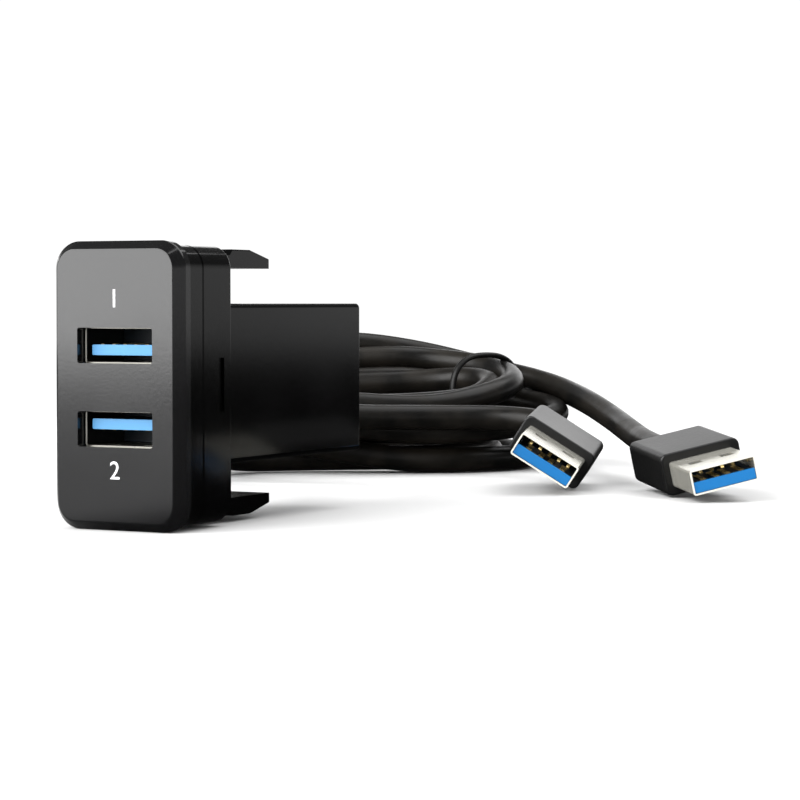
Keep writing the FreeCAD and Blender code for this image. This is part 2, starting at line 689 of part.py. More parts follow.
def build():
    os.makedirs("parts", exist_ok=True)
    save("face_plate", face_plate())
    save("front_collar", front_collar())
    save("clip_frame", clip_frame())
    save("rear_box", rear_box())
    for number, z in PORT_Z.items():
        name = "port_" + str(number)
        side = TONGUE_SIDE[number]
        contacts = port_contacts(z, side)
        save(name + "_shell", port_shell(z))
        save(name + "_contacts", Part.makeCompound(contacts))
        save(name + "_insulator", port_insulator(z, side, contacts))
        save(name + "_inner_mould", port_mould(z))
        save(name + "_inner_lead", inner_lead(z))
        save("cable_boot_" + str(number), boot(z))
    grooves = []
    for number in (1, 2):
        name = "cable_" + str(number)
        for part in ("in", "out"):
            points = route(number, part)
            save(name + "_" + part, tube(points, CABLE_D / 2, name + "_" + part))
            grooves.append(tube(points, CABLE_D / 2 + GROOVE))
    grooves.append(wire_tie(TIE_D / 2 + GROOVE))
    for number, radius in ((1, RING_IN), (2, RING_OUT)):
        save("cable_" + str(number) + "_hank", hank(radius, grooves))
    save("wire_tie", wire_tie(TIE_D / 2))
    contacts = plug_contacts()
    pieces = {"grip": plug_grip(), "shell": plug_shell(), "insert": plug_insert(contacts),
              "contacts": Part.makeCompound(contacts)}
    for number in (1, 2):
        for part, shape in pieces.items():
            save("plug_" + str(number) + "_" + part, place_plug(shape, number))


build()
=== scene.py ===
"""Looks of a panel adapter with two sockets and two wound leads."""

import json
import math

import bpy
import numpy as np
from bpy.props import FloatProperty, FloatVectorProperty, PointerProperty
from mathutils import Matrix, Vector


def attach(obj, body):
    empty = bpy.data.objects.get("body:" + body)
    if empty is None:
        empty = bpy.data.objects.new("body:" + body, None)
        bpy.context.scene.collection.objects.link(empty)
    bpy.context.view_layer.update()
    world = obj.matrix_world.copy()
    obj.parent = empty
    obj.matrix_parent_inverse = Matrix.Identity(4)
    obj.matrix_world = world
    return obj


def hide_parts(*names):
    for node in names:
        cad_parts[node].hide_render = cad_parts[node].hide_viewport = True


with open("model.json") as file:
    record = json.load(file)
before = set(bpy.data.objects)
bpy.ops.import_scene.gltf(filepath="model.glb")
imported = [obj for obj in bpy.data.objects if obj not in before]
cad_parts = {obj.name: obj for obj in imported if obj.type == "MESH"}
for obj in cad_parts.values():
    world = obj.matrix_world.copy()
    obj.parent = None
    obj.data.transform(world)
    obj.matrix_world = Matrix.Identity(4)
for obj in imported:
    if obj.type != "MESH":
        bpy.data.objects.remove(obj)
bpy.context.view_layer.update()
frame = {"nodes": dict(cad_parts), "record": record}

bl_info = {
    "name": "Panel adapter",
    "version": (1, 0, 0),
    "blender": (4, 5, 0),
    "location": "View3D > Sidebar > Adapter",
    "description": "Finishes, leads, wire tie, numerals and stage of a panel adapter with wound leads",
    "category": "Object",
}

MM = 0.001
BODY = "root"
WHITE = (1.0, 1.0, 1.0, 1.0)

# The hank lies in a frame of its own: u along it, v away from the face plate, z up.
HANK_X = -48.6
HANK_Y = 114.7
HANK_TURN = math.radians(27.4)

# Free stretches of both leads, in the hank's frame
ROUTE_IN = {
    1: [(8.6, -67.0, 26.6), (2.8, -57.4, 22.6), (-5.6, -50.4, 17.2), (-16.0, -44.6, 11.0),
        (-19.2, -33.2, 5.4), (-13.6, -21.8, 2.8), (-1.2, -15.9, 2.7)],
    2: [(8.6, -67.4, 13.8), (2.6, -57.6, 10.4), (-8.0, -50.0, 7.2), (-22.0, -43.0, 4.6),
        (-35.0, -33.0, 2.9), (-42.8, -19.0, 2.7), (-44.2, -3.0, 2.7)],
}
ROUTE_OUT = {
    1: [(-38.8, -8.0, 22.0), (-32.6, -20.6, 22.6), (-21.0, -28.0, 18.0), (-7.0, -29.2, 13.6),
        (9.0, -28.2, 11.7), (24.5, -26.4, 11.6), (39.8, -25.2, 11.5), (48.5, -30.0, 10.9)],
    2: [(-3.0, 26.0, 25.2), (10.0, 27.4, 25.8), (25.0, 28.2, 23.6), (40.0, 25.2, 19.8),
        (51.5, 14.0, 17.3), (58.5, -2.0, 14.3), (63.0, -20.0, 11.2), (65.8, -38.0, 8.7)],
}

# Where each lead leaves its boot, and where each plug lies: the place of its tip, its yaw and its pitch
PORT_Z = {1: 28.15, 2: 15.45}
BOOT_END = 37.4
BOOT_LEAD = 7.0
PLUG_PLACES = {1: ((28.7, 65.2, 6.3), (-72.3, -3.8)), 2: ((63.0, 64.5, 4.75), (-51.1, -3.7))}
PLUG_LONG = 31.75
PLUG_LEAD = {1: 10.0, 2: 14.0}

# Where the sides meet the left end, and the step of the ends' points in degrees
END_LEFT = -22.0
END_STEP = 30

# Shares of a turn: for a degree of an end, at the points of a side, and along a side
END_SHARE = 0.14 / 90
SIDE_SHARES = (0.178, 0.322)
SIDE_SPAN = 0.2

# Wound turns. A turn starts at the hank's left end, and each table gives a value against turns.
TURNS = {
    1: {"way": -1, "first": 0.25, "last": 2.99,
        "height": ((0.0, 2.7), (0.25, 2.7), (0.5, 3.4), (0.65, 4.5), (0.85, 6.0), (1.0, 7.2), (1.15, 8.1),
                   (1.35, 8.2), (1.5, 9.4), (1.65, 11.0), (1.85, 11.2), (2.0, 12.2), (2.15, 13.1),
                   (2.35, 13.3), (2.43, 14.6), (2.48, 16.6), (2.53, 18.0), (2.58, 18.3), (2.65, 17.4),
                   (2.85, 16.2), (3.0, 19.2)),
        "right": ((0.0, 24.0), (3.0, 24.0)),
        "reach": ((0.0, 15.4), (1.5, 15.0), (2.5, 14.8)),
        "near": ((0.0, 15.8), (2.0, 15.2), (2.4, 14.5)),
        "far": ((0.0, 15.8), (1.0, 15.8), (1.5, 17.2), (1.7, 16.6), (1.85, 13.8), (2.4, 13.2), (2.8, 13.2),
                (3.0, 15.8)),
        "left": ((0.0, 15.8), (1.8, 15.8), (2.1, 15.6), (2.8, 16.0), (3.0, 16.8))},
    2: {"way": 1, "first": 0.0, "last": 3.19,
        "height": ((0.0, 2.7), (0.66, 2.7), (0.7, 2.9), (0.82, 8.9), (0.88, 8.7), (1.0, 9.0), (1.15, 14.2),
                   (1.3, 19.9), (1.375, 16.4), (1.43, 13.6), (1.5, 11.6), (1.57, 9.6), (1.62, 8.4),
                   (1.7, 8.4), (1.85, 13.0), (2.0, 13.8), (2.15, 19.2), (2.3, 23.2), (2.375, 22.1),
                   (2.43, 20.9), (2.5, 18.4), (2.57, 15.6), (2.62, 13.2), (2.7, 13.4), (2.85, 17.0),
                   (3.0, 19.2), (3.15, 24.2)),
        "right": ((0.0, 24.0), (0.9, 24.0), (1.4, 26.5), (1.7, 26.5), (2.2, 22.5), (3.0, 22.5)),
        "reach": ((0.0, 23.0), (0.9, 23.0), (1.4, 26.7), (1.7, 26.0), (2.2, 21.0), (3.2, 21.0)),
        "near": ((0.0, 19.6), (0.75, 20.6), (0.9, 21.0), (1.55, 20.6), (1.7, 21.6), (1.9, 24.0), (2.1, 21.0),
                 (2.6, 20.0), (2.75, 20.2), (3.0, 21.0)),
        "far": ((0.0, 21.4), (1.0, 20.4), (1.15, 18.8), (1.3, 17.6), (1.4, 18.4), (2.1, 21.4), (2.4, 23.0),
                (3.2, 23.0)),
        "left": ((0.0, 21.0), (1.0, 21.2), (1.9, 23.6), (2.1, 22.0), (3.0, 21.4))},
}

# Wire tie: a loop across the hank's right-hand folds, with twisted tails
TIE_FROM = (31.0, 0.0)
TIE_TO = (45.4, 12.0)
TIE_LOW = 6.5
TIE_HIGH = 23.4
TIE_SQUARE = 2.6
TIE_GAP = 24.0
TIE_TAIL = 5.0
TIE_TAIL_GAP = 0.6
TIE_TWISTS = 1.5
TIE_TWIST_R = 0.75
TIE_TWIST_STARTS = (0.25, 0.75)

# Fineness of the tie's path and section
TIE_LOOP_POINTS = 26
TIE_TAIL_POINTS = 10
TIE_STEPS = 4
TIE_SIDES = 14

# Fineness of the leads' curves, round and along
LEAD_ROUND = 6
LEAD_STEPS = 5

# Fronts and sides of the pieces that carry painted light and shade, or print
PLATE_FRONT = -29.4
SLEEVE_FRONT = -27.5
SLEEVE_SIDE = 6.55
TONGUE_FRONT = -27.1
INSERT_BACK = 0.3

# Noise of the finishes in waves to the metre: slow for shade, quick for gloss and grain
PLASTIC_SLOW = 70.0
METAL_SLOW = 160.0
METAL_QUICK = 900.0
RUBBER_SLOW = 120.0
RUBBER_QUICK = 1100.0
BLUE_QUICK = 2200.0
INK_QUICK = 2500.0
FINE_GRAIN = 0.004
RIM_GRAIN = 0.003

# Painted highlight along the side edges of a socket's sleeve: where it fades in, from its sides and from its
# front
HIGHLIGHT_SIDE = (0.3, 0.2)
HIGHLIGHT_FRONT = (0.15, 0.05)

# Depths between which painted shade turns the blue dark, and a plug's painted rim highlight ends
BLUE_SHADE_FADE = (0.15, 0.6)
RIM_HIGHLIGHT_FADE = (0.08, 0.2)

# Numerals: text and height of its middle
NUMERALS = {"numeral_1": ("1", 35.3), "numeral_2": ("2", 9.3)}
NUMERAL_PROUD = 0.02
NUMERAL_DEEP = 0.01

# Camera: place, turn in degrees, lens and width of its sensor
CAMERA_PLACE = (0.214025, -0.34894, 0.034996)
CAMERA_TURN = (87.745, 0.0, 27.379)
CAMERA_LENS = 114.0
CAMERA_SENSOR = 36.0

# Light panels: width and height, place, and the point that each one faces
KEY_PANEL = ((1.2, 1.0), (-0.417, -0.652, 0.468), (0.0, 0.0, 0.2))
TOP_PANEL = ((1.0, 0.8), (0.25, 0.35, 0.8), (0.0, 0.08, 0.0))
BACK_PANEL = ((1.6, 0.5), (-0.5, 1.4, 0.4), (0.0, 0.1, 0.0))

# Floor: half its width, distances at which it changes, and how strongly each part shines
FLOOR_HALF = 8.0
FLOOR_FADE = (0.2, 0.5)
CARD_FADE = (0.9, 1.9)
CARD_EDGE = 0.03
CARD_SHINE = 0.015
HORIZON_SHINE = 0.65
WHITE_SHINE = 1.05

# Surroundings as mirrored: dark overhead, with a paler band just over the horizon
OVERHEAD_SHINE = 0.12
BAND_SHINE = 0.6
BAND_TOP = (0.02, 0.25)


class Value:
    """An output of one material's graph, so that shader maths reads as a plain expression."""

    def __init__(self, graph, socket):
        self.graph = graph
        self.socket = socket

    def maths(self, operation, first, second):
        """One Math node on two values or numbers."""
        return self.graph.add("ShaderNodeMath", {"operation": operation}, {0: first, 1: second})

    def __add__(self, other):
        return self.maths("ADD", self, other)

    __radd__ = __add__

    def __sub__(self, other):
        return self.maths("SUBTRACT", self, other)

    def __rsub__(self, other):
        return self.maths("SUBTRACT", other, self)

    def __mul__(self, other):
        return self.maths("MULTIPLY", self, other)

    __rmul__ = __mul__

    def __pow__(self, other):
        return self.maths("POWER", self, other)

    def ramp(self, low, high):
        """Smooth rise from 0 to 1 between two values."""
        return self.graph.add("ShaderNodeMapRange", {"interpolation_type": "SMOOTHSTEP"},
                              {"Value": self, "From Min": low, "From Max": high})

    def swing(self, span):
        """A noise round 0.5 as a swing of this span round 0."""
        return (self - 0.5) * span


class Graph:
    """The node tree of one material or world. Every node is made by add."""

    def __init__(self, tree):
        self.tree = tree
        tree.nodes.clear()

    def add(self, kind, settings=(), inputs=(), output=0):
        """One node with its settings and inputs; returns one of its outputs."""
        node = self.tree.nodes.new(kind)
        for name, value in dict(settings).items():
            setattr(node, name, value)
        for name, value in dict(inputs).items():
            if isinstance(value, Value):
                self.tree.links.new(value.socket, node.inputs[name])
            else:
                node.inputs[name].default_value = value
        return Value(self, node.outputs[output]) if node.outputs else None

    def noise(self, scale, detail, stretch=(1.0, 1.0, 1.0)):
        """Soft random value round 0.5, with scale in waves to the metre, closer along a stretched axis."""
        here = self.add("ShaderNodeTexCoord", output="Object")
        place = self.add("ShaderNodeMapping", {}, {"Vector": here, "Scale": stretch})
        return self.add("ShaderNodeTexNoise", {}, {"Vector": place, "Scale": scale, "Detail": detail})

    def bump(self, height, depth, strength=1.0):
        """Normal of a surface that its height lifts by up to a depth in metres."""
        return self.add("ShaderNodeBump", {}, {"Height": height, "Distance": depth, "Strength": strength})

    def mix(self, share, first, second):
        """Colour between two colours, by share."""
        return self.add("ShaderNodeMix", {"data_type": "RGBA"}, {0: share, 6: first, 7: second}, output=2)

    def depth(self, front, inward, low, high):
        """Smooth rise from 0 to 1 between two depths in millimetres behind a front point, going inward."""
        here = self.add("ShaderNodeTexCoord", output="Object")
        along = self.add("ShaderNodeVectorMath", {"operation": "DOT_PRODUCT"}, {0: here, 1: inward}, "Value")
        return (along - inward.dot(front)).ramp(low * MM, high * MM)

    def part(self, vector, axis):
        """One component of a vector."""
        return self.add("ShaderNodeSeparateXYZ", {}, {0: vector}, output=axis)

    def white(self, strength):
        """Light of plain white from the surface itself."""
        return self.add("ShaderNodeEmission", {}, {"Color": WHITE, "Strength": strength})

    def blend(self, share, first, second):
        """Shader between two shaders, by share."""
        return self.add("ShaderNodeMixShader", {}, {0: share, 1: first, 2: second})

    def ray(self, kind):
        """1 for rays of this kind and 0 for others."""
        return self.add("ShaderNodeLightPath", output="Is %s Ray" % kind)

    def surface(self, **inputs):
        """Principled surface with these inputs, joined to the output."""
        named = {name.replace("_", " "): value for name, value in inputs.items()}
        shader = self.add("ShaderNodeBsdfPrincipled", {}, named)
        self.add("ShaderNodeOutputMaterial", {}, {"Surface": shader})


def new_graph(name):
    """New material and its empty graph."""
    material = bpy.data.materials.new(name)
    material.use_nodes = True
    return material, Graph(material.node_tree)


def shade(color, factor=1.0):
    """Colour made darker or lighter, with its alpha."""
    return tuple(min(1.0, part * factor) for part in color) + (1.0,)


def moulded(name, color, rough, specular, grain=1400.0, depth=0.01):
    """Moulded plastic: a shade and a gloss that wander a little, under a fine grain."""
    material, graph = new_graph(name)
    broad = graph.noise(PLASTIC_SLOW, 2.0)
    fine = graph.noise(grain, 2.0)
    graph.surface(Base_Color=graph.mix(broad, shade(color, 0.85), shade(color, 1.15)),
                  Roughness=rough + broad.swing(0.06) + fine.swing(0.05),
                  Specular_IOR_Level=specular, Normal=graph.bump(fine, depth * MM))
    return material


def plated(name, color, rough, metallic):
    """Plated metal: a gloss that wanders a little, and a slightly uneven tint."""
    material, graph = new_graph(name)
    broad = graph.noise(METAL_SLOW, 2.0)
    fine = graph.noise(METAL_QUICK, 3.0)
    graph.surface(Base_Color=graph.mix(broad, shade(color, 0.92), shade(color, 1.05)), Metallic=metallic,
                  Roughness=rough + fine.swing(0.14), Normal=graph.bump(fine, FINE_GRAIN * MM))
    return material


def rubbery(name, color, warm, rough, specular, depth=0.03):
    """Soft black jacket or rubber: a brown cast in patches, a dusty gloss and a fine skin."""
    material, graph = new_graph(name)
    patch = graph.noise(RUBBER_SLOW, 4.0).ramp(0.35, 0.7)
    skin = graph.noise(RUBBER_QUICK, 4.0)
    graph.surface(Base_Color=graph.mix(patch, shade(color), shade(warm)),
                  Roughness=rough + patch * 0.14 + skin.swing(0.12),
                  Specular_IOR_Level=specular, Normal=graph.bump(skin, depth * MM, 0.6))
    return material


def printed(name, color):
    """Flat printed ink, a little worn."""
    material, graph = new_graph(name)
    worn = graph.noise(INK_QUICK, 3.0)
    graph.surface(Base_Color=graph.mix(worn.ramp(0.6, 0.85), shade(color), shade(color, 0.75)),
                  Roughness=0.5 + worn.swing(0.2))
    return material


def floor_material(name, level):
    """White floor that keeps the object's shadow. Far away it shines white by itself to the camera. In
    mirroring surfaces only its front left part is white: the rest is a black card that turns into a dim far
    horizon."""
    material, graph = new_graph(name)
    here = graph.add("ShaderNodeTexCoord", output="Object")
    far = graph.add("ShaderNodeVectorMath", {"operation": "LENGTH"}, {0: here}, output="Value")
    left = graph.part(here, "X").ramp(0.0, -CARD_EDGE)
    front = graph.part(here, "Y").ramp(CARD_EDGE, 0.0)
    matt = graph.add("ShaderNodeBsdfDiffuse", {}, {"Color": shade((level, level, level))})
    glow = graph.white(WHITE_SHINE)
    seen = graph.blend(far.ramp(*FLOOR_FADE) * graph.ray("Camera"), matt, glow)
    behind = graph.blend(far.ramp(*CARD_FADE), graph.white(CARD_SHINE), graph.white(HORIZON_SHINE))
    mirrored = graph.blend(left * front, behind, glow)
    both = graph.blend(graph.ray("Glossy"), seen, mirrored)
    graph.add("ShaderNodeOutputMaterial", {}, {"Surface": both})
    return material


def blue_with_painted_shade(name, color, front, inward):
    """Insert or tongue of a plug or socket: bright blue on its front face, and painted shade that makes it
    nearly black further in.
    """
    material, graph = new_graph(name)
    depth = graph.depth(front, inward, *BLUE_SHADE_FADE)
    fine = graph.noise(BLUE_QUICK, 2.0)
    # Painted shade: the blue darkens to nearly black with depth behind its front face, where the recess lies
    # in shade
    graph.surface(Base_Color=graph.mix(depth, shade(color), shade(color, 0.03)),
                  Roughness=0.36 + fine.swing(0.08), Specular_IOR_Level=0.4,
                  Normal=graph.bump(fine, FINE_GRAIN * MM))
    return material


def painted_rim_highlight(name, color, front, inward):
    """Sleeve of a plug: plated sheet with a hazy gloss, and a painted highlight that makes its rim brighter
    and less metallic.
    """
    material, graph = new_graph(name)
    depth = graph.depth(front, inward, *RIM_HIGHLIGHT_FADE)
    broad = graph.noise(METAL_SLOW, 2.0)
    fine = graph.noise(METAL_QUICK, 3.0)
    # Painted highlight: the rim is a quarter brighter and less metallic, fading out just behind the tip
    graph.surface(Base_Color=graph.mix(depth, shade(color, 1.25), shade(color)),
                  Metallic=0.1 + depth * 0.6,
                  Roughness=0.24 + fine.swing(0.1) + broad.swing(0.08),
                  Normal=graph.bump(fine, RIM_GRAIN * MM))
    return material


def sheet_painted_light(name, color):
    """Sleeve of a socket: darkened all over by painted shade, with painted highlights along its two side
    edges at the front.
    """
    material, graph = new_graph(name)
    here = graph.add("ShaderNodeTexCoord", output="Object")
    # Painted shade darkens the whole sleeve, and painted highlights lighten its two side edges at the front
    side = (graph.part(here, "X") ** 2.0).ramp(*((SLEEVE_SIDE - step) ** 2 * MM ** 2 for step in HIGHLIGHT_SIDE))
    painted_highlight = side * graph.part(here, "Y").ramp(*((SLEEVE_FRONT + step) * MM for step in HIGHLIGHT_FRONT))
    fine = graph.noise(METAL_QUICK, 3.0, stretch=(1.0, 0.12, 1.0))
    graph.surface(Base_Color=graph.mix(painted_highlight, shade(color, 0.25), shade(color, 0.6)),
                  Metallic=1.0 - painted_highlight * 0.8,
                  Roughness=0.3 + fine.swing(0.14), Normal=graph.bump(fine, FINE_GRAIN * MM))
    return material


def finishes(colours):
    """Materials by slot, and a dim copy of the gold with painted shade for the contacts deep in the sockets.
    """
    return {
        "plate_plastic": moulded("satin_plate", colours.plate, rough=0.12, specular=0.5, grain=2600.0,
                                 depth=0.003),
        "body_plastic": moulded("gloss_body", colours.body, rough=0.11, specular=0.26, depth=0.0012),
        "port_steel": sheet_painted_light("sheet_painted_light", colours.steel),
        # Socket tongue: painted shade darkens its blue behind its front face
        "port_blue": blue_with_painted_shade("blue_tongue", colours.tongue, Vector((0.0, TONGUE_FRONT * MM, 0.0)),
                               Vector((0.0, 1.0, 0.0))),
        "contact_gold": plated("gold_contact", colours.gold, rough=0.22, metallic=0.85),
        # Painted shade: gold dimmed to an eighth for the contacts deep in the sockets
        "contact_painted_shade": plated("painted_shade_contact", Vector(colours.gold) * 0.12, rough=0.35, metallic=0.9),
        "mould_plastic": moulded("black_mould", colours.body, rough=0.5, specular=0.3),
        "boot_rubber": rubbery("boot_skin", colours.body, colours.jacket, rough=0.55, specular=0.3),
        "cable_jacket": rubbery("lead_skin", colours.jacket, colours.jacket_warm, rough=0.32, specular=0.28,
                                depth=0.012),
        "tie_wire": rubbery("tie_skin", colours.jacket, colours.jacket, rough=0.4, specular=0.3, depth=0.02),
        "grip_plastic": moulded("grip_skin", colours.grip, rough=0.38, specular=0.6, grain=1500.0,
                                depth=0.035),
    }


def hank_point(point):
    """Place in the part's frame of a point in the hank's frame: one turn about Z and one shift."""
    u, v, z = point
    x = HANK_X + u * math.cos(HANK_TURN) - v * math.sin(HANK_TURN)
    y = HANK_Y + u * math.sin(HANK_TURN) + v * math.cos(HANK_TURN)
    return (x * MM, y * MM, z * MM)


def plug_point(number, behind_tip):
    """Point on a plug's axis, a distance behind its tip."""
    tip, (yaw, pitch) = PLUG_PLACES[number]
    yaw, pitch = math.radians(yaw), math.radians(pitch)
    ahead = Vector((math.cos(yaw) * math.cos(pitch), math.sin(yaw) * math.cos(pitch), math.sin(pitch)))
    return tuple((Vector(tip) - ahead * behind_tip) * MM)


def stations():
    """Places round one turn, as (share of the turn, end angle). On the straight sides the angle is None."""
    quarter = range(END_STEP // 2, 90, END_STEP)
    left_first = [(back * END_SHARE, 180 - back) for back in quarter]
    right = [(0.5 - angle * END_SHARE, angle) for angle in range(90 - END_STEP // 2, -90, -END_STEP)]
    left_last = [(1.0 - back * END_SHARE, back - 180) for back in reversed(quarter)]
    far_side = [(share, None) for share in SIDE_SHARES]
    near_side = [(1.0 - share, None) for share in reversed(SIDE_SHARES)]
    return left_first + far_side + right + near_side + left_last


def wound_points(number):
    """Control points of a lead's turns: straight sides joined by half ellipses. A half ellipse is
    (centre + reach cos(a), side sin(a)), and each size is read from its table at the turn."""
    plan = TURNS[number]

    def size(name, at):
        table = plan[name]
        return float(np.interp(at, [row[0] for row in table], [row[1] for row in table]))

    points = []
    for turn in range(math.ceil(plan["last"])):
        for share, angle in stations():
            at = turn + share
            if not plan["first"] < at < plan["last"]:
                continue
            first, second = size("far", at), size("near", at)
            if plan["way"] < 0:
                first, second = second, first
            side = first if share < 0.5 else second
            if angle is None:
                step = (share - 0.25 if share < 0.5 else 0.75 - share) / SIDE_SPAN
                middle = (END_LEFT + size("right", at)) / 2
                u = middle + step * (size("right", at) - END_LEFT)
                v = side if share < 0.5 else -side
            else:
                turned = math.radians(angle)
                reach = size("reach", at) if abs(angle) < 90 else size("left", at)
                centre = size("right", at) if abs(angle) < 90 else END_LEFT
                u = centre + reach * math.cos(turned) / math.cos(math.radians(END_STEP / 2))
                v = side * math.sin(turned) / math.cos(math.radians(END_STEP / 2))
            if plan["way"] < 0:
                v = -v
            points.append((u, v, size("height", at)))
    return points


def lead_points(number):
    """Control points of a whole lead, from its boot through the hank to its plug."""
    z = PORT_Z[number] * MM
    points = [(0.0, BOOT_END * MM, z), (0.0, (BOOT_END + BOOT_LEAD) * MM, z)]
    points += [hank_point(p) for p in ROUTE_IN[number] + wound_points(number) + ROUTE_OUT[number]]
    points += [plug_point(number, PLUG_LONG + PLUG_LEAD[number]), plug_point(number, PLUG_LONG)]
    return points


def add_object(name, data, material=None, slot=None):
    """Object at the origin in the scene, on the part's body where it has a slot."""
    obj = bpy.data.objects.new(name, data)
    bpy.context.scene.collection.objects.link(obj)
    if material:
        data.materials.append(material)
    if slot:
        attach(obj, BODY)
    return obj


def add_mesh(name, points, faces, material, slot=None, smooth=True):
    """Object with a mesh of these points and faces."""
    mesh = bpy.data.meshes.new(name)
    mesh.from_pydata(np.asarray(points).tolist(), [], faces)
    mesh.polygons.foreach_set("use_smooth", [smooth] * len(mesh.polygons))
    mesh.update()
    return add_object(name, mesh, material, slot)


def soft_path(corners, steps):
    """Quadratic B-spline through the middles of a path's runs. Each point is (1-t)^2/2, 1/2+t-t^2 and t^2/2
    of three corners in a row."""
    corners = np.asarray(corners, float)
    t = (np.arange(steps) / steps)[None, :, None]
    a, b, c = (corners[i:len(corners) - 2 + i][:, None] for i in range(3))
    curve = (1 - t) ** 2 / 2 * a + (0.5 + t - t * t) * b + t * t / 2 * c
    return np.concatenate([curve.reshape(-1, 3), [(corners[-2] + corners[-1]) / 2]])


def tube_grid(path, across, wide, thick, sides):
    """Oval section swept along a path, each point centre + wide cos(a) side + thick sin(a) up. Both ends are
    closed."""
    ahead = np.gradient(path, axis=0)
    ahead /= np.linalg.norm(ahead, axis=1)[:, None]
    side = across - (ahead @ across)[:, None] * ahead
    side /= np.linalg.norm(side, axis=1)[:, None]
    up = np.cross(ahead, side)
    a = np.arange(sides) * 2 * np.pi / sides
    ring = wide * np.cos(a)[:, None] * side[:, None] + thick * np.sin(a)[:, None] * up[:, None]
    points = (path[:, None] + ring).reshape(-1, 3)
    i, j = np.meshgrid(np.arange(len(path) - 1), np.arange(sides), indexing="ij")
    k = (j + 1) % sides
    row = i * sides
    quads = np.stack([row + j, row + k, row + sides + k, row + sides + j], axis=-1).reshape(-1, 4)
    ends = [list(range(sides))[::-1], list(range(len(points) - sides, len(points)))]
    return points, quads.tolist() + ends


def tie_path():
    """The tie's line: up one twisted tail, round a squarish loop and back down the other tail. The loop is
    (half cos(a)^p, height sin(a)^p) with the signs kept, and each tail is a helix."""
    start, end = np.array(TIE_FROM), np.array(TIE_TO)
    along = (end - start) / np.linalg.norm(end - start)
    half = np.linalg.norm(end - start) / 2
    middle = (start + end) / 2
    height = (TIE_HIGH - TIE_LOW) / 2
    level = (TIE_HIGH + TIE_LOW) / 2
    normal = np.array([-along[1], along[0]])

    def local(s, side, z):
        u, v = middle + along * s + normal * side
        return hank_point((u, v, z))

    turned = np.radians(np.linspace(TIE_GAP, 360.0 - TIE_GAP, TIE_LOOP_POINTS))
    power = 2.0 / TIE_SQUARE
    loop = [local(half * np.sign(np.cos(a)) * abs(np.cos(a)) ** power, 0.0,
                  level + height * np.sign(np.sin(a)) * abs(np.sin(a)) ** power) for a in turned]
    tails = []
    for phase in TIE_TWIST_STARTS:
        share = np.linspace(0.0, 1.0, TIE_TAIL_POINTS)
        wound = 2 * np.pi * (phase + share * TIE_TWISTS)
        tails.append([local(half + TIE_TAIL_GAP + TIE_TAIL * s, TIE_TWIST_R * np.cos(w),
                            level + TIE_TWIST_R * np.sin(w)) for s, w in zip(share, wound)])
    return soft_path(tails[0][::-1] + loop + tails[1], TIE_STEPS)


class AdapterSizes(bpy.types.PropertyGroup):
    """Sizes of what is added to the part."""

    lead: FloatProperty(name="Lead", description="Thickness of each lead", default=0.005, unit="LENGTH")
    tie_wide: FloatProperty(name="Tie width", description="Width of the tie's strip", default=0.0016,
                            unit="LENGTH")
    tie_thick: FloatProperty(name="Tie thickness", description="Thickness of the tie's strip",
                             default=0.0012, unit="LENGTH")
    numeral: FloatProperty(name="Numeral", description="Height of the printed numerals", default=0.0027,
                           unit="LENGTH")


class AdapterColours(bpy.types.PropertyGroup):
    """Colours of the finishes."""

    plate: FloatVectorProperty(name="Plate", description="Face plate", subtype="COLOR",
                               default=(0.005, 0.005, 0.0053))
    body: FloatVectorProperty(name="Body", description="Collar, clips and rear box", subtype="COLOR",
                              default=(0.0006, 0.0006, 0.0007))
    steel: FloatVectorProperty(name="Steel", description="Sleeves of sockets and plugs", subtype="COLOR",
                               default=(0.72, 0.705, 0.63))
    blue: FloatVectorProperty(name="Blue", description="Plug inserts", subtype="COLOR",
                              default=(0.005, 0.18, 0.5))
    tongue: FloatVectorProperty(name="Tongue", description="Socket tongues", subtype="COLOR",
                                default=(0.07, 0.27, 0.52))
    gold: FloatVectorProperty(name="Gold", description="Contacts", subtype="COLOR",
                              default=(0.95, 0.72, 0.3))
    jacket: FloatVectorProperty(name="Jacket", description="Leads", subtype="COLOR",
                                default=(0.003, 0.0028, 0.0025))
    jacket_warm: FloatVectorProperty(name="Jacket, warm", description="Brown cast of the leads",
                                     subtype="COLOR", default=(0.011, 0.009, 0.0065))
    grip: FloatVectorProperty(name="Grip", description="Plug grips", subtype="COLOR",
                              default=(0.005, 0.005, 0.0052))
    ink: FloatVectorProperty(name="Ink", description="Printed numerals", subtype="COLOR",
                             default=(0.82, 0.82, 0.84))


class AdapterStage(bpy.types.PropertyGroup):
    """Light and floor."""

    key: FloatProperty(name="Key light", description="Power of the panel in front", default=22.0,
                       unit="POWER")
    top: FloatProperty(name="Top light", description="Power of the panel overhead", default=6.0,
                       unit="POWER")
    back: FloatProperty(name="Back light", description="Power of the panel behind", default=4.0,
                        unit="POWER")
    sky: FloatProperty(name="Sky", description="Even light from all round", default=0.75)
    floor: FloatProperty(name="Floor", description="Whiteness of the floor", default=0.7, subtype="FACTOR")


